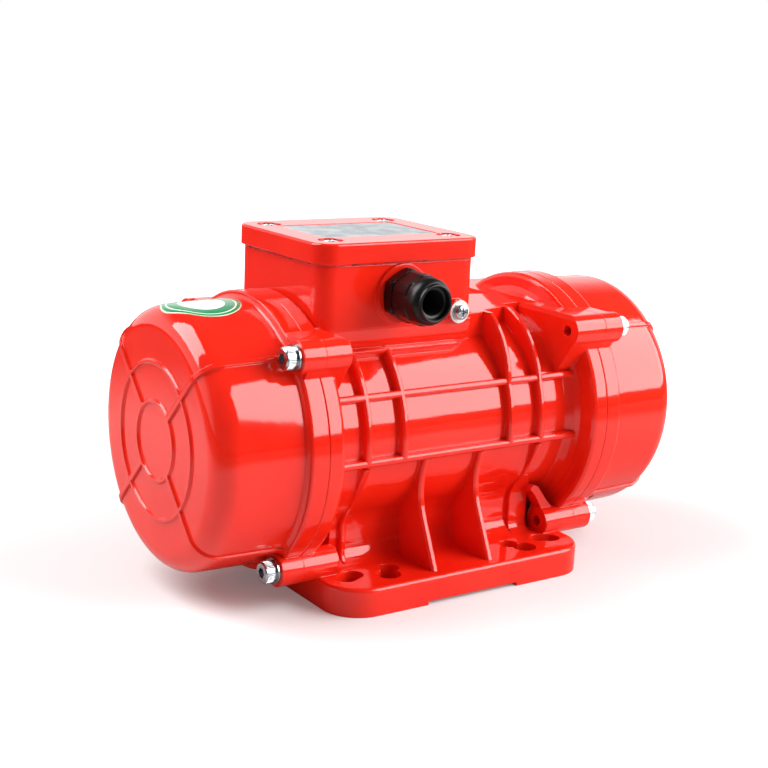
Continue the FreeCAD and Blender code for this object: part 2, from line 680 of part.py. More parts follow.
def winding_leads():
    """Sleeved leads from the end turns up through the passage to the terminal block."""
    low, high, bend = AXIS_Z + 38, 153.0, 6.0
    start_x, end_x = -CORE_HALF - 16.2, TERMINAL_X0
    k = bend * (1 - math.cos(math.radians(45)))
    path = Part.Wire([
        Part.LineSegment(V(start_x, 0, low), V(LEAD_X + bend, 0, low)).toShape(),
        Part.Arc(V(LEAD_X + bend, 0, low), V(LEAD_X + k, 0, low + k), V(LEAD_X, 0, low + bend)).toShape(),
        Part.LineSegment(V(LEAD_X, 0, low + bend), V(LEAD_X, 0, high - bend)).toShape(),
        Part.Arc(V(LEAD_X, 0, high - bend), V(LEAD_X + k, 0, high - k), V(LEAD_X + bend, 0, high)).toShape(),
        Part.LineSegment(V(LEAD_X + bend, 0, high), V(end_x, 0, high)).toShape()])
    section = Part.Wire([Part.makeCircle(3.5, V(start_x, 0, low), V(1, 0, 0))])
    return path.makePipeShell([section], True, False)


# ---- rotor --------------------------------------------------------------------------
def rotor_shaft():
    """Stepped shaft with a keyway at each end, under the eccentric weights."""
    half = [(0, 15.5), (40, 15.5), (40, 14.5), (BEARING_X0, 14.5), (BEARING_X0, SHAFT_R), (91, SHAFT_R),
            (91, 12.0), (131, 12.0), (132, 11.0)]
    right = [(x, r) for x, r in half]
    left = [(-x, r) for x, r in reversed(half[1:])]
    shaft = spun([(-132, 0)] + left + right + [(132, 0)])
    for side in (-1, 1):
        x0, x1 = sorted((side * KEY_X0, side * KEY_X1))
        shaft = shaft.cut(Part.makeBox(x1 - x0, 6, 6, V(x0, -3, AXIS_Z + 8.5)))
        g0, g1 = sorted((side * 126.4, side * 127.7))
        shaft = shaft.cut(ring_x(13, 11.2, g0, g1))
    return shaft




def shaft_key():
    return Part.makeBox(KEY_X1 - KEY_X0, 6, 6, V(KEY_X0, -3, AXIS_Z + 8.5))


def rotor_core():
    """Rotor stack with the aluminium cage's slots closed under its surface."""
    return ring_x(ROTOR_R, 15.5, -CORE_HALF, CORE_HALF)


def rotor_end_rings():
    """Cast end rings of the squirrel cage with their short blades."""
    ring = ring_x(25.0, 17.0, CORE_HALF, CORE_HALF + 8)
    blades = []
    for i in range(8):
        blade = Part.makeBox(5, 2, 5.5, V(CORE_HALF + 8, -1, AXIS_Z + 18.5))
        blades.append(turned(blade, 45.0 * i))
    one = fused([ring] + blades)
    return Part.makeCompound([one, mirrored_x(one)])


def weight_plate(x0, thick, hole_r, keyed):
    """Eccentric weight: a heavy sector below a clamping hub that is slit and bolted."""
    half = math.radians(12)
    sy, sz = WEIGHT_R * math.cos(half), WEIGHT_R * math.sin(half)
    sector = section_x([(-sy, AXIS_Z - sz), ("arc", (0, AXIS_Z - WEIGHT_R), (sy, AXIS_Z - sz)),
                        (17, AXIS_Z - 3), (19.5, AXIS_Z + 3), (19.5, AXIS_Z + 25), (-19.5, AXIS_Z + 25),
                        (-19.5, AXIS_Z + 3), (-17, AXIS_Z - 3)], x0, x0 + thick)
    hub = rod_x(20.0, x0, x0 + thick)
    body = sector.fuse(hub).removeSplitter()
    body = body.cut(rod_x(hole_r, x0 - 1, x0 + thick + 1))
    body = body.cut(Part.makeBox(thick + 2, 2.0, 30, V(x0 - 1, -1, AXIS_Z + 6)))
    if keyed:
        body = body.cut(Part.makeBox(thick + 2, 6, 14.5 - 6, V(x0 - 1, -3, AXIS_Z + 6)))
    mid = x0 + thick / 2
    bolt = Part.makeCylinder(3.0, 60, V(mid, -30, AXIS_Z + CLAMP_Z), V(0, 1, 0))
    return body.cut(bolt)




def clamp_bolt(x0, thick):
    """Cross bolt of a clamping hub with a nut on its far side."""
    mid, z = x0 + thick / 2, AXIS_Z + CLAMP_Z
    seat = 19.6
    head = rod_y(4.9, seat, seat + 5.5, mid, z)
    shank = rod_y(3.0, -seat - 7, seat, mid, z)
    nut = hexagon_y(10.0, -seat - 5.5, -seat, mid, z)
    return fused([head, shank, nut])


def shaft_circlip():
    ring = ring_x(15.0, 11.2, 126.5, 127.6)
    return ring.cut(Part.makeBox(4, 5, 8, V(125, -2.5, AXIS_Z - 16)))


# ---- terminal box fittings -------------------------------------------------------------


def box_lid():
    """Lid with a rim, screw recesses and a shallow seat for the rating plate."""
    lid = rounded_block(LID_HX, LID_HY, LID_CORNER, LID_BOTTOM, LID_TOP, BOX_CX)
    top = [e for e in lid.Edges if e.BoundBox.ZMin > LID_TOP - 0.01]
    lid = lid.makeFillet(1.2, top)
    hollow = rounded_block(LID_HX - 6, LID_HY - 6, 5.0, LID_BOTTOM - 1, LID_TOP - 4.5, BOX_CX)
    posts = [rod_z(POST_R + 1, LID_BOTTOM - 2, LID_TOP, x, y) for x, y in lid_screw_places()]
    lid = lid.cut(hollow.cut(fused(posts)))
    cuts = [rounded_block(PLATE_LX / 2, PLATE_LY / 2, 1.5, LID_TOP - 1.0, LID_TOP + 1, BOX_CX)]
    for x, y in lid_screw_places():
        cuts.append(rod_z(6.5, LID_TOP - 4.5, LID_TOP + 1, x, y))
        cuts.append(rod_z(3.2, LID_BOTTOM - 1, LID_TOP, x, y))
    return lid.cut(fused_cuts(cuts))


def lid_gasket():
    ring = rounded_block(BOX_HX, BOX_HY, BOX_CORNER, BOX_TOP_Z, LID_BOTTOM, BOX_CX)
    inside = rounded_block(BOX_HX - BOX_WALL, BOX_HY - BOX_WALL, 4.0, BOX_TOP_Z - 1, LID_BOTTOM + 1, BOX_CX)
    posts = [rod_z(POST_R, BOX_TOP_Z - 2, LID_BOTTOM + 2, x, y) for x, y in lid_screw_places()]
    holes = [rod_z(3.2, BOX_TOP_Z - 2, LID_BOTTOM + 2, x, y) for x, y in lid_screw_places()]
    return ring.cut(inside.cut(fused(posts))).cut(fused_cuts(holes))


def lid_screws():
    """Pan-head screws that sit in the lid's recesses."""
    seat = LID_TOP - 4.5
    screws = []
    for x, y in lid_screw_places():
        head = rod_z(5.2, seat, seat + 3.6, x, y)
        rim = [e for e in head.Edges if e.BoundBox.ZMin > seat + 3.5]
        head = head.makeFillet(1.2, rim)
        screws.append(head.fuse(rod_z(3.0, 161, seat, x, y)).removeSplitter())
    return Part.makeCompound(screws)


def rating_plate():
    return rounded_block(PLATE_LX / 2 - 0.3, PLATE_LY / 2 - 0.3, 1.2, LID_TOP - 1.0, LID_TOP - 0.3, BOX_CX)


def terminal_block():
    """Insulating block with barriers between its terminals."""
    pieces = [Part.makeBox(TERMINAL_X1 - TERMINAL_X0, 24, 10, V(TERMINAL_X0, -12, BOX_FLOOR_Z))]
    for i in range(5):
        x = TERMINAL_X0 + i * (TERMINAL_X1 - TERMINAL_X0 - 2) / 4
        pieces.append(Part.makeBox(2, 24, 15, V(x, -12, BOX_FLOOR_Z)))
    return fused(pieces).cut(fused_cuts([rod_z(2.0, BOX_FLOOR_Z + 3, BOX_FLOOR_Z + 11, x, 0)
                                         for x in terminal_places()]))


def terminal_places():
    pitch = (TERMINAL_X1 - TERMINAL_X0 - 2) / 4
    return [TERMINAL_X0 + 1 + (i + 0.5) * pitch for i in range(4)]


def terminal_studs():
    return Part.makeCompound([rod_z(2.0, BOX_FLOOR_Z + 3, BOX_FLOOR_Z + 20, x, 0) for x in terminal_places()])


def terminal_nuts():
    nuts = []
    for x in terminal_places():
        r = 7.0 / math.sqrt(3)
        base = [V(x + r * math.cos(math.radians(60 * i)), r * math.sin(math.radians(60 * i)), BOX_FLOOR_Z + 10)
                for i in range(6)]
        nuts.append(prism(base, V(0, 0, 3.2)).cut(rod_z(2.0, BOX_FLOOR_Z + 9, BOX_FLOOR_Z + 14, x, 0)))
    return Part.makeCompound(nuts)


def earth_washer():
    return rod_y(6.0, GLAND_FACE, GLAND_FACE + 1.2, EARTH_X, EARTH_Z).cut(
        rod_y(2.6, GLAND_FACE - 1, GLAND_FACE + 2, EARTH_X, EARTH_Z))


def earth_screw():
    """Domed machine screw of the outer earth terminal."""
    seat = GLAND_FACE + 1.2
    head = rod_y(4.6, seat, seat + 3.6, EARTH_X, EARTH_Z)
    rim = [e for e in head.Edges if e.BoundBox.YMax < -seat - 3.5]
    head = head.makeFillet(1.4, rim)
    return head.fuse(rod_y(2.5, GLAND_FACE - 8, seat, EARTH_X, EARTH_Z)).removeSplitter()


# ---- cable gland -------------------------------------------------------------------------
def gland_washer():
    return rod_y(14.0, GLAND_FACE, GLAND_FACE + 1.2, GLAND_X, GLAND_Z).cut(
        rod_y(10.1, GLAND_FACE - 1, GLAND_FACE + 2, GLAND_X, GLAND_Z))


def spun_y(profile):
    """Solid of revolution about the gland's axis from (distance, radius) places."""
    points = []
    for item in profile:
        if item[0] == "arc":
            points.append(("arc", V(GLAND_X, -item[1][0], GLAND_Z + item[1][1]),
                           V(GLAND_X, -item[2][0], GLAND_Z + item[2][1])))
        else:
            points.append(V(GLAND_X, -item[0], GLAND_Z + item[1]))
    return Part.Face(wire(points)).revolve(V(GLAND_X, 0, GLAND_Z), V(0, 1, 0), 360)




def gland_body():
    stem = spun_y([(31, 7.2), (31, 10.0), (GLAND_SEAT, 10.0), (GLAND_SEAT, 12.4), (GLAND_NUT_START - 0.3, 12.4),
                   (GLAND_NUT_START - 0.3, 10.4), (GLAND_NUT_START + 10, 10.4), (GLAND_NUT_START + 10, 9.2),
                   (GLAND_NUT_START + 1, 9.2), (GLAND_NUT_START - 3, 7.2)])
    hexagon = hexagon_y(GLAND_HEX, GLAND_SEAT, GLAND_NUT_START - 0.3, GLAND_X, GLAND_Z)
    hexagon = hexagon.common(rod_y(GLAND_HEX * 0.56, GLAND_SEAT, GLAND_NUT_START, GLAND_X, GLAND_Z))
    hexagon = hexagon.cut(rod_y(9.5, GLAND_SEAT - 1, GLAND_NUT_START + 1, GLAND_X, GLAND_Z))
    return stem.fuse(hexagon).removeSplitter()


def gland_nut():
    """Domed cap nut with gripping flats and a rolled-in mouth."""
    dome = GLAND_NUT_START + 13
    body = spun_y([(GLAND_NUT_START, 10.5), (GLAND_NUT_START, 12.9), (dome, 12.9),
                   ("arc", (dome + 5.4, 11.1), (GLAND_TIP, 8.2)), (GLAND_TIP, CABLE_R + 0.4),
                   (GLAND_TIP - 1.5, CABLE_R), (GLAND_TIP - 4, CABLE_R), (GLAND_TIP - 6.5, 8.9),
                   (GLAND_NUT_START + 10.6, 10.5)])
    grip = hexagon_y(24.6, GLAND_NUT_START - 1, dome - 2, GLAND_X, GLAND_Z)
    front = rod_y(13.5, dome - 2, GLAND_TIP + 1, GLAND_X, GLAND_Z)
    return body.common(grip.fuse(front))


def gland_seal():
    """Rubber sleeve that the cap nut presses round the cable."""
    return spun_y([(GLAND_NUT_START + 1, CABLE_R), (GLAND_NUT_START + 1, 9.1), (GLAND_NUT_START + 10.2, 9.1),
                   (GLAND_TIP - 6.8, 8.6), (GLAND_TIP - 4.2, CABLE_R)])


def gland_locknut():
    inner = BOX_HY - BOX_WALL
    nut = hexagon_y(26.0, inner - 5.5, inner, GLAND_X, GLAND_Z)
    return nut.cut(rod_y(10.0, inner - 7, inner + 1, GLAND_X, GLAND_Z))


# ---- build ----------------------------------------------------------------------------------
def build():
    os.makedirs("parts", exist_ok=True)
    export("motor_body", motor_body())
    both_ends("end_cover", end_cover(1))
    both_ends("cover_seal", cover_seal())
    both_ends("cover_screws", cover_screws())
    both_ends("cover_washers", cover_washers())
    both_ends("bearing_shield", bearing_shield())
    both_ends("shield_screws", shield_screws())
    both_ends("bearing_cap", bearing_cap())
    both_ends("bearing_cap_screws", cap_screws())
    both_ends("bearing_outer_ring", bearing_outer_ring())
    both_ends("bearing_inner_ring", bearing_inner_ring())
    both_ends("bearing_balls", bearing_balls())
    both_ends("bearing_cage", bearing_cage())
    both_ends("shaft_key", shaft_key())
    both_ends("fixed_weight", weight_plate(FIXED_WEIGHT_X, WEIGHT_T, 12.0, True))
    both_ends("fixed_weight_bolt", clamp_bolt(FIXED_WEIGHT_X, WEIGHT_T))
    both_ends("outer_weight", weight_plate(OUTER_WEIGHT_X, WEIGHT_T, 12.05, False))
    both_ends("outer_weight_bolt", clamp_bolt(OUTER_WEIGHT_X, WEIGHT_T))
    both_ends("shaft_circlip", shaft_circlip())
    export("rotor_shaft", rotor_shaft())
    export("rotor_core", rotor_core())
    export("rotor_end_rings", rotor_end_rings())
    export("stator_core", stator_core())
    export("stator_winding", stator_winding())
    export("winding_leads", winding_leads())
    export("terminal_box_cover", box_lid())
    export("terminal_cover_gasket", lid_gasket())
    export("terminal_cover_screws", lid_screws())
    export("rating_plate", rating_plate())
    export("terminal_block", terminal_block())
    export("terminal_studs", terminal_studs())
    export("terminal_nuts", terminal_nuts())
    export("earth_screw", earth_screw())
    export("earth_washer", earth_washer())
    export("gland_washer", gland_washer())
    export("gland_body", gland_body())
    export("gland_nut", gland_nut())
    export("gland_seal", gland_seal())
    export("gland_locknut", gland_locknut())


build()
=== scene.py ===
import bpy
import math
from mathutils import Matrix, Vector
from mathutils.bvhtree import BVHTree


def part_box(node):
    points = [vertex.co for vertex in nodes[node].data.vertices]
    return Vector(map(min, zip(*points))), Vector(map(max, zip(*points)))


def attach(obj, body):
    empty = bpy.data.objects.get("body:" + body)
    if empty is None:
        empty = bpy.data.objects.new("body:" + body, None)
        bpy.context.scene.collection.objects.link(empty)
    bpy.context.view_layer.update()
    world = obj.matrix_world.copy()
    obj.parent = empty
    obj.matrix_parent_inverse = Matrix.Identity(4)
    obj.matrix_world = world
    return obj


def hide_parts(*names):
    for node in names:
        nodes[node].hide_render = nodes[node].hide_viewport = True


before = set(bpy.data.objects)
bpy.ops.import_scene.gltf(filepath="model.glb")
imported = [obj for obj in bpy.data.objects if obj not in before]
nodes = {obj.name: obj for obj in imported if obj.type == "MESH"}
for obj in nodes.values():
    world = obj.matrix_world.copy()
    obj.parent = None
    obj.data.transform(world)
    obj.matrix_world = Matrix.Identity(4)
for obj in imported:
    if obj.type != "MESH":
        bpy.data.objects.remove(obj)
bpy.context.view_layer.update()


def srgb(code):
    """Linear colour with alpha 1 from an sRGB hex value."""
    parts = [int(code[i:i + 2], 16) / 255 for i in (1, 3, 5)]
    return [p / 12.92 if p <= 0.04045 else ((p + 0.055) / 1.055) ** 2.4 for p in parts] + [1.0]


def add_node(tree, kind, links=None, **values):
    """A new node: values set properties or unlinked sockets, links feed sockets."""
    node = tree.nodes.new(kind)
    for key, value in values.items():
        if hasattr(node, key):
            setattr(node, key, value)
        else:
            node.inputs[key.replace("_", " ")].default_value = value
    for key, source in (links or {}).items():
        tree.links.new(source, node.inputs[key])
    return node


def new_material(name):
    material = bpy.data.materials.new(name)
    material.use_nodes = True
    material.node_tree.nodes.clear()
    return material, material.node_tree


def finish(material, shader):
    out = add_node(material.node_tree, "ShaderNodeOutputMaterial")
    material.node_tree.links.new(shader.outputs[0], out.inputs["Surface"])
    return material


def two_tone(tree, factor, dark, light, low=0.3, high=0.7):
    """Blend between two hex colours as the factor goes from low to high."""
    ramp = add_node(tree, "ShaderNodeValToRGB", {"Fac": factor})
    for element, place, colour in zip(ramp.color_ramp.elements, (low, high), (dark, light)):
        element.position = place
        element.color = srgb(colour)
    return ramp.outputs["Color"]


def dress(material, *names):
    """Gives a material to carried-over CAD nodes."""
    for name in names:
        mesh = nodes[name].data
        mesh.materials.clear()
        mesh.materials.append(material)


def both(*names):
    return [side + name for name in names for side in ("left_", "right_")]


# Sprayed alkyd enamel: deep glossy red, in patches of 38 mm that differ a little. The
# film pulls back to a soft radius on every edge, and it dries with slow waves 6 mm apart
# and an orange peel of 1.5 mm.
EDGE_RADIUS = 0.0008
CLOUDS_PER_METRE, WAVES_PER_METRE, PEELS_PER_METRE = 26.0, 165.0, 670.0
WAVE_HEIGHT, PEEL_HEIGHT = 0.00003, 0.000003
enamel, tree = new_material("red_gloss_enamel")
place = add_node(tree, "ShaderNodeTexCoord").outputs["Object"]
cloud = add_node(tree, "ShaderNodeTexNoise", {"Vector": place}, Scale=CLOUDS_PER_METRE, Detail=2.0)
red = two_tone(tree, cloud.outputs["Fac"], "#e01f0e", "#e82715")
soft = add_node(tree, "ShaderNodeBevel", samples=6, Radius=EDGE_RADIUS)
waves = add_node(tree, "ShaderNodeTexNoise", {"Vector": place}, Scale=WAVES_PER_METRE, Detail=0.0)
peel = add_node(tree, "ShaderNodeTexNoise", {"Vector": place}, Scale=PEELS_PER_METRE, Detail=1.0)
wavy = add_node(tree, "ShaderNodeBump", {"Height": waves.outputs["Fac"], "Normal": soft.outputs["Normal"]},
                Strength=1.0, Distance=WAVE_HEIGHT)
peeled = add_node(tree, "ShaderNodeBump", {"Height": peel.outputs["Fac"], "Normal": wavy.outputs["Normal"]},
                  Strength=1.0, Distance=PEEL_HEIGHT)
shader = add_node(tree, "ShaderNodeBsdfPrincipled",
                  {"Base Color": red, "Normal": peeled.outputs["Normal"]},
                  Roughness=0.07, IOR=1.52)
finish(enamel, shader)
dress(enamel, "motor_body")


# ---- Stator -----------------------------------------------------------------
# A stack of punched electrical-steel sheets is pressed into the barrel and carries
# the slot bars and end turns of the varnished copper winding.

# Blackened sheet edges in fine bands: the sheets are 0.5 mm thick and are drawn twice as
# coarse so that they show.
SHEET = 0.001


def bands_per_metre(step):
    """Wave texture scale that gives one band for each step in metres."""
    return math.pi / 10 / step


stack, tree = new_material("varnished_electrical_steel")
place = add_node(tree, "ShaderNodeTexCoord").outputs["Object"]
sheets = add_node(tree, "ShaderNodeTexWave", {"Vector": place}, bands_direction="X",
                  Scale=bands_per_metre(SHEET), Distortion=0.4)
grey = two_tone(tree, sheets.outputs["Fac"], "#4a4c50", "#71747a")
edges = add_node(tree, "ShaderNodeBump", {"Height": sheets.outputs["Fac"]}, Strength=0.5, Distance=0.0001)
shader = add_node(tree, "ShaderNodeBsdfPrincipled", {"Base Color": grey, "Normal": edges.outputs["Normal"]},
                  Roughness=0.42, Metallic=0.9)
finish(stack, shader)
dress(stack, "stator_core", "rotor_core")

# Enamelled copper wire under baked varnish: brown-red with fine strands 0.8 mm apart.
STRAND = 0.0008
winding, tree = new_material("varnished_copper_wire")
place = add_node(tree, "ShaderNodeTexCoord").outputs["Object"]
strands = add_node(tree, "ShaderNodeTexWave", {"Vector": place}, bands_direction="Z",
                   Scale=bands_per_metre(STRAND), Distortion=3.0, Detail=2.0)
copper = two_tone(tree, strands.outputs["Fac"], "#7c3216", "#b8632f")
lay = add_node(tree, "ShaderNodeBump", {"Height": strands.outputs["Fac"]}, Strength=0.6, Distance=0.0002)
shader = add_node(tree, "ShaderNodeBsdfPrincipled", {"Base Color": copper, "Normal": lay.outputs["Normal"]},
                  Roughness=0.3, Metallic=0.6, Coat_Weight=0.5, Coat_Roughness=0.15)
finish(winding, shader)
dress(winding, "stator_winding")


# ---- Rotor, shaft and bearings ----------------------------------------------
# The shaft is turned from carbon steel and ground at the seats. The rings and balls
# of the two deep-groove bearings are lapped chrome steel in pressed brass cages.
def mottled(name, dark, light, grain, roughness, metallic=1.0, relief=0.0, **more):
    """Finish whose two tones and relief follow a grain of a real size in metres."""
    material, tree = new_material(name)
    place = add_node(tree, "ShaderNodeTexCoord").outputs["Object"]
    noise = add_node(tree, "ShaderNodeTexNoise", {"Vector": place}, Scale=1 / grain, Detail=3.0)
    tone = two_tone(tree, noise.outputs["Fac"], dark, light)
    links = {"Base Color": tone}
    if relief:
        bump = add_node(tree, "ShaderNodeBump", {"Height": noise.outputs["Fac"]},
                        Strength=0.8, Distance=relief)
        links["Normal"] = bump.outputs["Normal"]
    shader = add_node(tree, "ShaderNodeBsdfPrincipled", links,
                      Roughness=roughness, Metallic=metallic, **more)
    return finish(material, shader)


# Turned steel: bright, with feed marks 0.4 mm apart that run round the shaft.
FEED = 0.0004
turned, tree = new_material("turned_carbon_steel")
place = add_node(tree, "ShaderNodeTexCoord").outputs["Object"]
marks = add_node(tree, "ShaderNodeTexWave", {"Vector": place}, bands_direction="X",
                 Scale=bands_per_metre(FEED), Distortion=0.6)
bright = two_tone(tree, marks.outputs["Fac"], "#8f9296", "#b4b7ba")
score = add_node(tree, "ShaderNodeBump", {"Height": marks.outputs["Fac"]}, Strength=0.3, Distance=0.00003)
shader = add_node(tree, "ShaderNodeBsdfPrincipled", {"Base Color": bright, "Normal": score.outputs["Normal"]},
                  Roughness=0.26, Metallic=1.0)
finish(turned, shader)
dress(turned, "rotor_shaft", *both("shaft_key"))

# Pressure-cast aluminium rings that short the rotor bars: pale, slightly porous.
dress(mottled("cast_aluminium", "#a2a5a7", "#c6c8c9", 0.0012, 0.45, relief=0.00006), "rotor_end_rings")
# Lapped bearing steel: near mirror, with only a faint cloudiness.
dress(mottled("lapped_bearing_steel", "#c0c3c6", "#cfd2d4", 0.006, 0.1),
      *both("bearing_outer_ring", "bearing_inner_ring", "bearing_balls"))
# Brass, pressed into cages and turned into studs and nuts: warm yellow, dulled by oil.
dress(mottled("pressed_brass", "#a9863c", "#c9a352", 0.003, 0.3),
      "terminal_studs", "terminal_nuts", *both("bearing_cage"))


# ---- Bearing shields and eccentric weights ----------------------------------
# Grey iron castings, machined on their seats. The outer weight of each end is set
# against the inner one for the force wanted and clamped to the shaft by a cross bolt.

# Sand-cast iron keeps the print of the sand, about 1 mm, and a thin grey primer.
dress(mottled("sand_cast_iron", "#4c4e50", "#626467", 0.0011, 0.62, 0.7, 0.00018),
      *both("fixed_weight", "outer_weight"))
# Faced on a lathe: mid grey and evenly bright.
dress(mottled("machined_grey_iron", "#66686a", "#808284", 0.0016, 0.4, 0.9, 0.00004),
      *both("bearing_shield", "bearing_cap"))
# Black oxide on steel: near black, oiled, with a satin sheen.
dress(mottled("black_oxide_steel", "#1c1c1e", "#2b2b2e", 0.0015, 0.38, 0.8, 0.00002),
      *both("shield_screws", "bearing_cap_screws", "fixed_weight_bolt", "outer_weight_bolt", "shaft_circlip"))


# ---- End covers -------------------------------------------------------------
# Deep die-cast caps over the weights, with a raised cross and two rings. They are
# sprayed with the body and seal on a rubber ring in the joint.
dress(enamel, *both("end_cover"))

# Moulded nitrile rubber: matt black with a faint bloom.
rubber = mottled("moulded_nitrile_rubber", "#0b0b0b", "#161616", 0.0008, 0.72, 0.0, 0.00002)
dress(rubber, *both("cover_seal"))


# ---- Cover screws -----------------------------------------------------------
# Four M6 socket head screws and flat washers hold each cover. They are bright zinc
# plated and the heads are knurled; the shanks inside the cover are painted near-black as painted shade in the
# screw holes.
ZINC_GRAIN, ZINC_RELIEF = 0.0014, 0.00001


def zinc_finish(name, shade_limit_x):
    """Bright zinc plate; parts nearer to the middle of the motor than the given limit are painted near-black,
    as painted shade for the screw holes.
    """
    material, tree = new_material(name)
    place = add_node(tree, "ShaderNodeTexCoord").outputs["Object"]
    noise = add_node(tree, "ShaderNodeTexNoise", {"Vector": place}, Scale=1 / ZINC_GRAIN, Detail=2.0)
    plated = two_tone(tree, noise.outputs["Fac"], "#a3a8ac", "#c6cacd")
    along = add_node(tree, "ShaderNodeSeparateXYZ", {"Vector": place})
    reach = add_node(tree, "ShaderNodeMath", {0: along.outputs["X"]}, operation="ABSOLUTE")
    # Painted shade: every part nearer the middle than the limit turns near-black.
    painted_shade_mask = add_node(tree, "ShaderNodeMath", {0: reach.outputs[0]}, operation="LESS_THAN")
    painted_shade_mask.inputs[1].default_value = shade_limit_x
    tone = add_node(tree, "ShaderNodeMix", {"Factor": painted_shade_mask.outputs[0]}, data_type="RGBA")
    tree.links.new(plated, tone.inputs[6])
    tone.inputs[7].default_value = srgb("#101011")
    bump = add_node(tree, "ShaderNodeBump", {"Height": noise.outputs["Fac"]},
                    Strength=0.5, Distance=ZINC_RELIEF)
    shader = add_node(tree, "ShaderNodeBsdfPrincipled",
                      {"Base Color": tone.outputs[2], "Normal": bump.outputs["Normal"]},
                      Roughness=0.2, Metallic=1.0)
    return finish(material, shader)


WASHER_THICKNESS = 0.002
washer_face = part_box("right_cover_washers")[1][0]
# Painted shade: the shanks from the washer's back face inwards are near-black, as the screw holes would be in
# shadow.
dress(zinc_finish("bright_zinc_screws", washer_face - WASHER_THICKNESS), *both("cover_screws"))
zinc = mottled("bright_zinc_plate", "#a3a8ac", "#c6cacd", ZINC_GRAIN, 0.2, relief=ZINC_RELIEF)
dress(zinc, *both("cover_washers"))


def gn_tree(name, **sockets):
    """Geometry node group with a geometry in and out and one named input per socket."""
    group = bpy.data.node_groups.new(name, "GeometryNodeTree")
    group.interface.new_socket("Geometry", in_out="INPUT", socket_type="NodeSocketGeometry")
    for label, kind in sockets.items():
        group.interface.new_socket(label.replace("_", " "), in_out="INPUT", socket_type="NodeSocket" + kind)
    group.interface.new_socket("Geometry", in_out="OUTPUT", socket_type="NodeSocketGeometry")
    return group, add_node(group, "NodeGroupInput").outputs


def gn_end(group, geometry, finish_socket):
    """Closes a group: real geometry in its own material."""
    real = add_node(group, "GeometryNodeRealizeInstances", {"Geometry": geometry})
    painted = add_node(group, "GeometryNodeSetMaterial",
                       {"Geometry": real.outputs[0], "Material": finish_socket})
    add_node(group, "NodeGroupOutput", {"Geometry": painted.outputs[0]})


def gn_piece(name, group, points, **inputs):
    """Runs a group on a mesh of loose points and keeps the result as a plain mesh."""
    seed = bpy.data.meshes.new(name + "_points")
    seed.from_pydata(points, [], [])
    carrier = bpy.data.objects.new(name, seed)
    bpy.context.collection.objects.link(carrier)
    modifier = carrier.modifiers.new("build", "NODES")
    modifier.node_group = group
    for item in group.interface.items_tree:
        if item.in_out == "INPUT" and item.name.replace(" ", "_") in inputs:
            modifier[item.identifier] = inputs[item.name.replace(" ", "_")]
    evaluated = carrier.evaluated_get(bpy.context.evaluated_depsgraph_get())
    result = bpy.data.meshes.new_from_object(evaluated)
    carrier.modifiers.clear()
    carrier.data = result
    result.name = name
    return carrier


knurl, given = gn_tree("knurled_heads", Head_Radius="Float", Knurl_Length="Float", Ridge_Radius="Float",
                       Ridges="Int", Finish="Material")
circle = add_node(knurl, "GeometryNodeMeshCircle",
                  {"Vertices": given["Ridges"], "Radius": given["Head Radius"]})
ridge = add_node(knurl, "GeometryNodeMeshCylinder",
                 {"Radius": given["Ridge Radius"], "Depth": given["Knurl Length"]}, Vertices=8)
ring = add_node(knurl, "GeometryNodeInstanceOnPoints",
                {"Points": circle.outputs["Mesh"], "Instance": ridge.outputs["Mesh"]})
along_shaft = add_node(knurl, "GeometryNodeTransform", {"Geometry": ring.outputs["Instances"]},
                       Rotation=(0, math.pi / 2, 0))
heads = add_node(knurl, "GeometryNodeInstanceOnPoints",
                 {"Points": given["Geometry"], "Instance": along_shaft.outputs["Geometry"]})
gn_end(knurl, heads.outputs["Instances"], given["Finish"])


def middle(name):
    """Centre of a CAD node's box."""
    low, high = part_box(name)
    return [(a + b) / 2 for a, b in zip(low, high)]


# The two lower screws of a cover stand nearer together than the two upper ones.
shaft_z = middle("rotor_shaft")[2]
head_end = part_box("right_cover_screws")[1][0]
SCREW_PLACES = ((0.044, shaft_z - 0.0616), (0.058, shaft_z + 0.05085))
HEAD_RADIUS, KNURL_LENGTH, RIDGE_RADIUS, RIDGES = 0.0054, 0.0040, 0.0002, 42
for side, sign in (("left", -1), ("right", 1)):
    centre = sign * (washer_face + head_end) / 2
    spots = [(centre, hand * y, z) for y, z in SCREW_PLACES for hand in (-1, 1)]
    piece = gn_piece(side + "_screw_knurling", knurl, spots, Head_Radius=HEAD_RADIUS,
                     Knurl_Length=KNURL_LENGTH, Ridge_Radius=RIDGE_RADIUS, Ridges=RIDGES, Finish=zinc)
    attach(piece, "housing")


# ---- Terminal box -----------------------------------------------------------
# Four brass studs on a moulded block take the supply and the winding leads. The lid
# is a casting on a rubber gasket, with four sunk cross-head screws and a blank plate.

# Compression-moulded phenolic: brown-black with a flecked, half-matt skin.
dress(mottled("moulded_phenolic", "#15110f", "#2a221e", 0.0009, 0.5, 0.0, 0.00003), "terminal_block")
# Glass-fibre sleeve soaked in silicone varnish: cream, woven 1 mm coarse.
dress(mottled("varnished_glass_sleeve", "#bfae82", "#e0d2a8", 0.001, 0.5, 0.0, 0.00015), "winding_leads")

# The gasket was sprayed over with the box. Its black rubber shows where the film broke,
# in runs of about 4 mm.
FILM_BREAK = 0.004
gasket, tree = new_material("sprayed_over_rubber")
place = add_node(tree, "ShaderNodeTexCoord").outputs["Object"]
breaks = add_node(tree, "ShaderNodeTexNoise", {"Vector": place}, Scale=1 / FILM_BREAK, Detail=2.0)
film = two_tone(tree, breaks.outputs["Fac"], "#2a0907", "#cf1f10", 0.37, 0.43)
shader = add_node(tree, "ShaderNodeBsdfPrincipled", {"Base Color": film}, Roughness=0.35)
finish(gasket, shader)
dress(gasket, "terminal_cover_gasket")
dress(enamel, "terminal_box_cover")


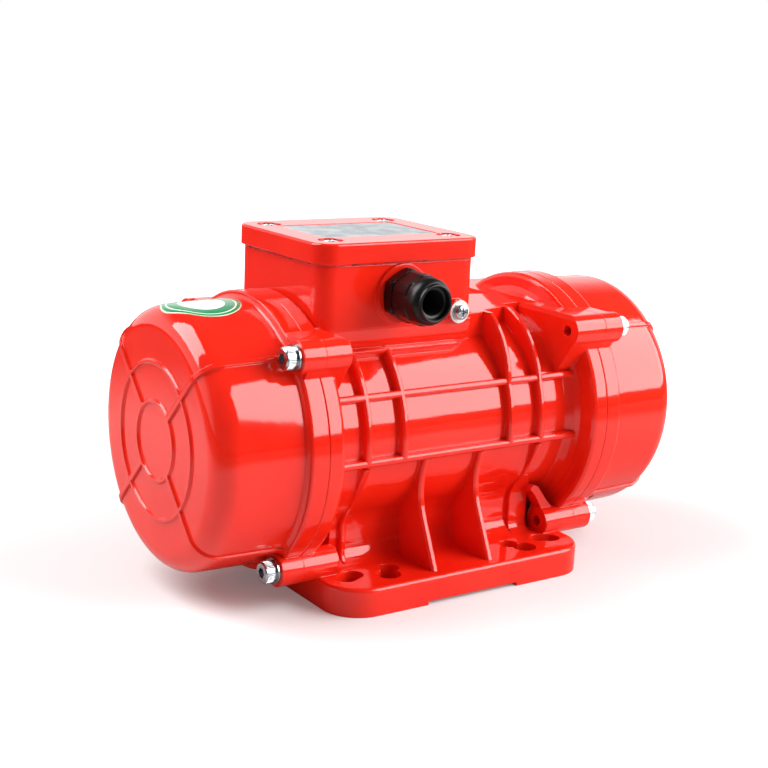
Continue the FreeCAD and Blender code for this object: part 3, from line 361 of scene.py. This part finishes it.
def solid_piece(name, spots, faces, material, sharp):
    """Object from points and outward faces, smooth except at edges over sharp degrees."""
    mesh = bpy.data.meshes.new(name)
    mesh.from_pydata(spots, [], faces)
    mesh.polygons.foreach_set("use_smooth", [True] * len(faces))
    mesh.set_sharp_from_angle(angle=math.radians(sharp))
    mesh.materials.append(material)
    made = bpy.data.objects.new(name, mesh)
    bpy.context.collection.objects.link(made)
    return made


def pan_head_screws(name, seats, outward, head_r, head_h, wing, shank_r, shank_l, pitch):
    """Cross-head screws: crowned heads with a tapered cross recess and ridged shanks."""
    spokes, rings = 80, 22
    crown, corner, slot_half, recess = 0.12 * head_h, 0.38 * head_h, 0.10 * head_r, 0.5 * head_h
    across = Vector((1, 0, 0))
    upward = outward.cross(across)
    flat_r = head_r - corner
    profile = [(flat_r * i / rings, head_h - crown * (i / rings) ** 2) for i in range(rings + 1)]
    edge = profile[-1][1] - corner
    for degrees in (18, 36, 54, 72, 90):
        t = math.radians(degrees)
        profile.append((flat_r + corner * math.sin(t), edge + corner * math.cos(t)))
    profile += [(head_r, 0.0), (shank_r, 0.0)]
    for i in range(int(shank_l / pitch)):
        profile += [(shank_r, -pitch * (i + 0.2)), (shank_r * 0.86, -pitch * (i + 0.6))]
    profile.append((shank_r * 0.7, -shank_l))
    spots, faces = [], []
    for seat in seats:
        first = len(spots)
        for r, w in profile:
            for j in range(spokes if r else 1):
                angle = 2 * math.pi * j / spokes
                u, v = r * math.cos(angle), r * math.sin(angle)
                near, far = min(abs(u), abs(v)), max(abs(u), abs(v))
                sunk = 0.0
                if w > edge:
                    side_wall = min(1, max(0, (slot_half - near) / (0.25 * slot_half) + 0.5))
                    sunk = side_wall * min(1, max(0, (wing - far) / (0.55 * wing)))
                spots.append(seat + across * u + upward * v + outward * (w - recess * sunk))
        faces += [(first, first + 1 + j, first + 1 + (j + 1) % spokes) for j in range(spokes)]
        for i in range(len(profile) - 2):
            a, b = first + 1 + i * spokes, first + 1 + (i + 1) * spokes
            faces += [(a + j, b + j, b + (j + 1) % spokes, a + (j + 1) % spokes) for j in range(spokes)]
        last = first + 1 + (len(profile) - 2) * spokes
        faces.append(tuple(last + j for j in reversed(range(spokes))))
    return solid_piece(name, spots, faces, zinc, 32)


# M6 screws whose heads end just under the top of the lid.
LID_SCREW_X, LID_SCREW_Y, CAD_HEAD, SUNK = 0.0363, 0.0307, 0.0036, 0.0001
lid_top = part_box("terminal_box_cover")[1][2]
lid_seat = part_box("terminal_cover_screws")[1][2] - CAD_HEAD
box_x = middle("terminal_box_cover")[0]
seats = [Vector((box_x + i * LID_SCREW_X, j * LID_SCREW_Y, lid_seat)) for i in (-1, 1) for j in (-1, 1)]
lid_screws = pan_head_screws("lid_screws", seats, Vector((0, 0, 1)), head_r=0.0060,
                             head_h=lid_top - lid_seat - SUNK, wing=0.0034,
                             shank_r=0.0029, shank_l=0.018, pitch=0.001)
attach(lid_screws, "housing")
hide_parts("terminal_cover_screws")

# Anodised sheet without print: silver grey, clouded by handling in patches of 9 mm, with
# specks scattered 6 mm apart.
PATCH, SPECK_GAP, SPECK_SIZE = 0.009, 0.006, 0.07
plate, tree = new_material("anodised_plate")
place = add_node(tree, "ShaderNodeTexCoord").outputs["Object"]
cloud = add_node(tree, "ShaderNodeTexNoise", {"Vector": place}, Scale=1 / PATCH, Detail=4.0)
silver = two_tone(tree, cloud.outputs["Fac"], "#9aa1a5", "#c2c6c9", 0.35, 0.65)
speck = add_node(tree, "ShaderNodeTexVoronoi", {"Vector": place}, Scale=1 / SPECK_GAP)
spot = add_node(tree, "ShaderNodeMath", {0: speck.outputs["Distance"]}, operation="LESS_THAN")
spot.inputs[1].default_value = SPECK_SIZE
tone = add_node(tree, "ShaderNodeMix", {"Factor": spot.outputs[0]}, data_type="RGBA")
tree.links.new(silver, tone.inputs[6])
tone.inputs[7].default_value = srgb("#4a4d50")
shader = add_node(tree, "ShaderNodeBsdfPrincipled", {"Base Color": tone.outputs[2]},
                  Roughness=0.42, Metallic=0.5)
finish(plate, shader)
dress(plate, "rating_plate")

# Gasket rubber that was squeezed out under the lid and dried as small crumbs.
crumbs, given = gn_tree("squeezed_crumbs", Share="Float", Crumb_Radius="Float", Seed="Int", Finish="Material")
chance = add_node(crumbs, "FunctionNodeRandomValue", {"Seed": given["Seed"], "Probability": given["Share"]},
                  data_type="BOOLEAN")
ball = add_node(crumbs, "GeometryNodeMeshIcoSphere", {"Radius": given["Crumb Radius"]}, Subdivisions=2)
size = add_node(crumbs, "FunctionNodeRandomValue", {"Seed": given["Seed"]}, data_type="FLOAT_VECTOR")
size.inputs[0].default_value = (0.6, 0.4, 0.25)
size.inputs[1].default_value = (2.2, 1.0, 0.6)
picked = add_node(crumbs, "GeometryNodeMeshToPoints",
                  {"Mesh": given["Geometry"], "Selection": chance.outputs[3]})
scatter = add_node(crumbs, "GeometryNodeInstanceOnPoints",
                   {"Points": picked.outputs["Points"], "Instance": ball.outputs["Mesh"],
                    "Scale": size.outputs[0]})
gn_end(crumbs, scatter.outputs["Instances"], given["Finish"])

# Places 1.3 mm apart round the lower rim of the gasket.
(gx0, gy0, gz0), (gx1, gy1, _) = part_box("terminal_cover_gasket")
RIM_CORNER, RIM_STEP = 0.009, 0.0013
rim = []
for cx, cy, start in ((gx1, gy1, 0), (gx0, gy1, 90), (gx0, gy0, 180), (gx1, gy0, 270)):
    mx = cx - math.copysign(RIM_CORNER, cx - (gx0 + gx1) / 2)
    my = cy - math.copysign(RIM_CORNER, cy)
    for turn in range(start, start + 91, 9):
        angle = math.radians(turn)
        rim.append(Vector((mx + RIM_CORNER * math.cos(angle), my + RIM_CORNER * math.sin(angle), gz0)))
dots = []
for here, there in zip(rim, rim[1:] + rim[:1]):
    count = max(1, round((there - here).length / RIM_STEP))
    dots += [tuple(here.lerp(there, i / count)) for i in range(count)]
piece = gn_piece("gasket_crumbs", crumbs, dots, Share=0.16, Crumb_Radius=0.0004, Seed=7,
                 Finish=rubber)
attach(piece, "housing")


# ---- Cable gland ------------------------------------------------------------
# A moulded polyamide gland with an M20 thread stands on a rubber washer. The cap nut
# squeezes a rubber sleeve on the cable; no cable is fitted.

# Injection-moulded polyamide: black and half gloss, with a skin that is hardly grained.
nylon = mottled("moulded_polyamide", "#080707", "#100e0e", 0.0010, 0.32, 0.0, 0.000008,
                Specular_IOR_Level=0.3)
dress(nylon, "gland_locknut")
dress(rubber, "gland_seal")


def turned_piece(name, outline, start_y, centre_x, centre_z, material, flats=0.1, round_below=0.0):
    """Ring turned about a line along -Y from (distance, radius) places in millimetres.

    Where the radius is above round_below it is cut by six flats, two of them upright.
    """
    sides = 144
    spots, faces = [], []
    for along, r in outline:
        for j in range(sides):
            angle = 2 * math.pi * j / sides
            flat = math.fmod(angle + math.radians(30), math.radians(60)) - math.radians(30)
            reach = min(r / 1000, flats / 2 / math.cos(flat)) if r > round_below else r / 1000
            spots.append((centre_x + reach * math.cos(angle), start_y - along / 1000,
                          centre_z + reach * math.sin(angle)))
    for i in range(len(outline)):
        a, b = i * sides, (i + 1) % len(outline) * sides
        faces += [(a + j, a + (j + 1) % sides, b + (j + 1) % sides, b + j) for j in range(sides)]
    return solid_piece(name, spots, faces, material, 24)


# The cap nut has a six-sided grip, a rounded nose and a raised lip round its mouth. The
# body's collar has six flats too, and its thread goes through the wall of the box.
gland_x, _, gland_z = middle("gland_nut")
cap_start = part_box("gland_nut")[1][1]
collar_seat, washer_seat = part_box("gland_washer")[0][1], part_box("gland_washer")[1][1]
GRIP_FLATS, COLLAR_FLATS, ROUND_BELOW = 0.0246, 0.0250, 12.3
cap_outline = [(0.0, 10.6), (0.0, 12.4), (0.5, 13.1), (11.4, 13.1), (12.0, 12.3), (13.6, 12.25),
               (15.4, 12.15), (16.8, 11.85), (17.9, 11.35), (18.7, 10.75), (19.1, 10.3), (19.2, 9.9),
               (19.5, 9.7), (20.4, 9.6), (20.85, 9.35), (21.0, 9.0), (20.9, 8.5), (20.5, 8.2),
               (19.6, 8.05), (18.6, 8.0), (18.2, 7.8), (18.0, 7.0), (17.8, 6.6), (17.2, 6.4),
               (14.9, 6.4), (12.6, 8.9), (10.6, 10.5)]
body_outline = [(-14.0, 7.2), (-14.0, 9.6), (-13.5, 10.0), (0.0, 10.0), (0.0, 13.4), (0.5, 14.0),
                (5.2, 14.0), (5.9, 13.2), (6.0, 12.6), (6.0, 10.4), (16.0, 10.4), (16.0, 9.2),
                (7.3, 9.2), (3.3, 7.2)]
washer_outline = [(0.0, 10.1), (0.0, 12.0), (0.3, 12.3), (0.9, 12.3), (1.2, 12.0), (1.2, 10.1)]
cap_nut = turned_piece("gland_cap_nut", cap_outline, cap_start, gland_x, gland_z, nylon,
                       GRIP_FLATS, ROUND_BELOW)
collar = turned_piece("gland_threaded_body", body_outline, collar_seat, gland_x, gland_z, nylon,
                      COLLAR_FLATS, ROUND_BELOW)
thin_ring = turned_piece("gland_face_washer", washer_outline, washer_seat, gland_x, gland_z, rubber)
for piece, node, slot in ((cap_nut, "gland_nut", "black_nylon"), (collar, "gland_body", "black_nylon"),
                          (thin_ring, "gland_washer", "seal_rubber")):
    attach(piece, "housing")
    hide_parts(node)


# ---- Earth terminal ---------------------------------------------------------
# An M5 cross-head screw clamps the earth wire under a wide washer, on a small boss of
# the box wall. Both are steel with zinc on it.

# Plain washer in dull zinc: pale and even.
dress(mottled("dull_zinc_plate", "#cfd0cc", "#ecebe6", ZINC_GRAIN, 0.5, relief=ZINC_RELIEF),
      "earth_washer")
earth_x, _, earth_z = middle("earth_screw")
earth_seat = Vector((earth_x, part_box("earth_washer")[0][1], earth_z))
earth = pan_head_screws("earth_cross_screw", [earth_seat], Vector((0, -1, 0)), head_r=0.0040,
                        head_h=0.0030, wing=0.0027, shank_r=0.0024, shank_l=0.009, pitch=0.0008)
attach(earth, "housing")
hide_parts("earth_screw")


# ---- Label ------------------------------------------------------------------
# A round vinyl label pressed on the top of the left cover, where it bends over the
# rim. It is white with green rings and carries no print.
LABEL_X, LABEL_R, LABEL_LIFT, FILM = -0.1228, 0.0202, 0.00012, 0.0001
label_mesh = bpy.data.meshes.new("round_label")
cover = nodes["left_end_cover"].data
skin = BVHTree.FromPolygons([v.co.copy() for v in cover.vertices],
                            [tuple(p.vertices) for p in cover.polygons])
# Its grid is laid out flat and dropped on the cover along the cover's own radius.
RINGS, SPOKES, CAP_SHARE, DROP_FROM = 16, 96, 0.93, 0.12
cover_r = (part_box("left_end_cover")[1][2] - shaft_z) * CAP_SHARE
spots, flat = [], []
for i in range(RINGS + 1):
    for j in range(SPOKES if i else 1):
        angle = 2 * math.pi * j / SPOKES
        u, v = LABEL_R * i / RINGS * math.cos(angle), LABEL_R * i / RINGS * math.sin(angle)
        turn = v / cover_r
        outward = Vector((0, math.sin(turn), math.cos(turn)))
        start = Vector((LABEL_X + u, 0, shaft_z)) + outward * DROP_FROM
        hit = skin.ray_cast(start, -outward)[0]
        spots.append(hit + outward * LABEL_LIFT)
        flat.append((0.5 + 0.5 * u / LABEL_R, 0.5 + 0.5 * v / LABEL_R))
faces = [(0, 1 + j, 1 + (j + 1) % SPOKES) for j in range(SPOKES)]
for i in range(1, RINGS):
    a, b = 1 + (i - 1) * SPOKES, 1 + i * SPOKES
    for j in range(SPOKES):
        k = (j + 1) % SPOKES
        faces.append((a + j, b + j, b + k, a + k))
label_mesh.from_pydata(spots, [], faces)
print_map = label_mesh.uv_layers.new(name="print")
for loop in label_mesh.loops:
    print_map.data[loop.index].uv = flat[loop.vertex_index]
label_mesh.polygons.foreach_set("use_smooth", [True] * len(faces))
label = bpy.data.objects.new("round_label", label_mesh)
bpy.context.collection.objects.link(label)

vinyl, tree = new_material("printed_vinyl")
spread = add_node(tree, "ShaderNodeUVMap", uv_map="print").outputs["UV"]
offset = add_node(tree, "ShaderNodeVectorMath", {0: spread}, operation="SUBTRACT")
offset.inputs[1].default_value = (0.5, 0.5, 0)
radius = add_node(tree, "ShaderNodeVectorMath", {0: offset.outputs[0]}, operation="LENGTH")
rings = add_node(tree, "ShaderNodeValToRGB", {"Fac": radius.outputs["Value"]})
rings.color_ramp.interpolation = "CONSTANT"
# White middle, broad green ring, thin pale ring, green ring and a cream rim.
bands = ((0.0, "#f1f3ee"), (0.29, "#0d8a52"), (0.415, "#e8f2e6"), (0.435, "#0d8a52"), (0.478, "#dfe6c8"))
while len(rings.color_ramp.elements) < len(bands):
    rings.color_ramp.elements.new(1.0)
for element, (start, colour) in zip(rings.color_ramp.elements, bands):
    element.position = start
    element.color = srgb(colour)
shader = add_node(tree, "ShaderNodeBsdfPrincipled", {"Base Color": rings.outputs["Color"]},
                  Roughness=0.22, Coat_Weight=0.4, Coat_Roughness=0.1)
finish(vinyl, shader)
label_mesh.materials.append(vinyl)
film = label.modifiers.new("film", "SOLIDIFY")
film.thickness = FILM
film.offset = 1.0
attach(label, "housing")


# ---- Floor and backdrop -----------------------------------------------------
# A plain white sweep. The floor takes the object's shadow; the backdrop is white to
# the eye and in reflections behind the object, and dim on the side of the viewer.
FLOOR_HALF = 8.0
corners = ((-1, -1), (1, -1), (1, 1), (-1, 1))
floor_mesh = bpy.data.meshes.new("floor")
floor_mesh.from_pydata([(x * FLOOR_HALF, y * FLOOR_HALF, 0) for x, y in corners], [], [(0, 1, 2, 3)])
floor = bpy.data.objects.new("floor", floor_mesh)
bpy.context.collection.objects.link(floor)

# Matt paper: white to the eye away from the object. In the gloss it is painted darker,
# a little near the object and more from 0.4 m on: a painted dimness that only reflections see.
PAPER, UNLIT, NEAR_SHARE = 0.7, 0.1, 0.3
GLOSS_DIM_START, GLOSS_DIM_FULL = 0.42, 0.62
SHADOW_END, ALL_WHITE, SHADOW_LIFT = 0.25, 0.8, 0.12
sweep, tree = new_material("white_paper_sweep")
seen = add_node(tree, "ShaderNodeLightPath")
spot = add_node(tree, "ShaderNodeTexCoord").outputs["Object"]
away = add_node(tree, "ShaderNodeVectorMath", {0: spot}, operation="LENGTH")
# Painted dimness: reflections see the floor darker, the more so the farther out.
gloss_dim_ramp = add_node(tree, "ShaderNodeMapRange", {"Value": away.outputs["Value"]},
                     From_Min=GLOSS_DIM_START, From_Max=GLOSS_DIM_FULL, To_Min=NEAR_SHARE, To_Max=1.0)
unlit = add_node(tree, "ShaderNodeMath", {0: seen.outputs["Is Glossy Ray"], 1: gloss_dim_ramp.outputs["Result"]},
                 operation="MULTIPLY")
tint = add_node(tree, "ShaderNodeMix", {"Factor": unlit.outputs[0]}, data_type="RGBA")
tint.inputs[6].default_value = (PAPER, PAPER, PAPER, 1)
tint.inputs[7].default_value = (UNLIT, UNLIT, UNLIT, 1)
paper = add_node(tree, "ShaderNodeBsdfDiffuse", {"Color": tint.outputs[2]})
fade = add_node(tree, "ShaderNodeMapRange", {"Value": away.outputs["Value"]},
                From_Min=SHADOW_END, From_Max=ALL_WHITE, To_Min=SHADOW_LIFT, To_Max=1.0)
lift = add_node(tree, "ShaderNodeMath", {0: seen.outputs["Is Camera Ray"], 1: fade.outputs["Result"]},
                operation="MULTIPLY")
glow = add_node(tree, "ShaderNodeEmission", {"Strength": lift.outputs[0]}, Color=(1, 1, 1, 1))
shader = add_node(tree, "ShaderNodeAddShader", {0: paper.outputs[0], 1: glow.outputs[0]})
finish(sweep, shader)
floor_mesh.materials.append(sweep)

# The room: even light on the object, and in the gloss a white band low behind it.
AMBIENT, DIM_SIDE, WHITE_BAND = 0.3, 0.12, 1.2
world = bpy.data.worlds.new("studio")
bpy.context.scene.world = world
world.use_nodes = True
tree = world.node_tree
tree.nodes.clear()
seen = add_node(tree, "ShaderNodeLightPath")
direction = add_node(tree, "ShaderNodeTexCoord").outputs["Generated"]
heading = add_node(tree, "ShaderNodeSeparateXYZ", {"Vector": direction})
far_side = add_node(tree, "ShaderNodeMapRange", {"Value": heading.outputs["Y"]}, From_Min=-0.15, From_Max=0.2)
below_top = add_node(tree, "ShaderNodeMapRange", {"Value": heading.outputs["Z"]},
                     From_Min=0.35, From_Max=0.6, To_Min=1.0, To_Max=0.0)
sheet = add_node(tree, "ShaderNodeMath", {0: far_side.outputs["Result"], 1: below_top.outputs["Result"]},
                 operation="MULTIPLY")
behind = add_node(tree, "ShaderNodeMapRange", {"Value": sheet.outputs[0]}, To_Min=DIM_SIDE, To_Max=WHITE_BAND)
mirrored = add_node(tree, "ShaderNodeMath",
                    {0: seen.outputs["Is Glossy Ray"], 1: seen.outputs["Is Transmission Ray"]},
                    operation="MAXIMUM")
dim = add_node(tree, "ShaderNodeMix", {"Factor": mirrored.outputs[0], "B": behind.outputs["Result"]},
               data_type="FLOAT")
dim.inputs[2].default_value = AMBIENT
level = add_node(tree, "ShaderNodeMix", {"Factor": seen.outputs["Is Camera Ray"], "A": dim.outputs[0]},
                 data_type="FLOAT")
level.inputs[3].default_value = 1.0
sky = add_node(tree, "ShaderNodeBackground", {"Strength": level.outputs[0]}, Color=(1, 1, 1, 1))
add_node(tree, "ShaderNodeOutputWorld", {"Surface": sky.outputs[0]})


# ---- Lamps ------------------------------------------------------------------
# One large soft box at the front right makes the broad window on the barrel and the
# covers; a second one stands high at the left and lights the end of the motor.
def softbox(name, heading, height, distance, width, tall, brightness):
    """Rectangular lamp: heading in degrees from -Y towards +X, height in degrees."""
    a, e = math.radians(heading), math.radians(height)
    away = Vector((math.sin(a) * math.cos(e), -math.cos(a) * math.cos(e), math.sin(e)))
    light = bpy.data.lights.new(name, "AREA")
    light.shape = "RECTANGLE"
    light.size, light.size_y = width, tall
    light.energy = brightness * math.pi * width * tall
    lamp = bpy.data.objects.new(name, light)
    bpy.context.collection.objects.link(lamp)
    lamp.location = away * distance + Vector((0, 0, shaft_z))
    lamp.rotation_euler = away.to_track_quat("Z", "Y").to_euler()


softbox("window", 50, 28, 1.6, 1.50, 1.36, 7.0)
softbox("left_top", -122, 47, 1.4, 0.85, 1.1, 8.2)


# ---- Camera -----------------------------------------------------------------
# It stands in front of the motor, to the left and a little above it, and is rolled by a
# few degrees.
HEADING, HEIGHT, ROLL = math.radians(-34.59), math.radians(13.50), math.radians(2.68)
STAND = (-0.4463, -0.6325, 0.28245)
back = Vector((math.sin(HEADING) * math.cos(HEIGHT), -math.cos(HEADING) * math.cos(HEIGHT),
               math.sin(HEIGHT)))
right = Vector((math.cos(HEADING), math.sin(HEADING), 0))
up = back.cross(right)
side = right * math.cos(ROLL) + up * math.sin(ROLL)
crown = up * math.cos(ROLL) - right * math.sin(ROLL)
lens = bpy.data.cameras.new("camera")
lens.sensor_width, lens.lens = 36.0, 67.51
camera = bpy.data.objects.new("camera", lens)
bpy.context.collection.objects.link(camera)
camera.matrix_world = Matrix.Translation(STAND) @ Matrix((side, crown, back)).transposed().to_4x4()
bpy.context.scene.camera = camera
bpy.context.scene.view_settings.view_transform = "Standard"
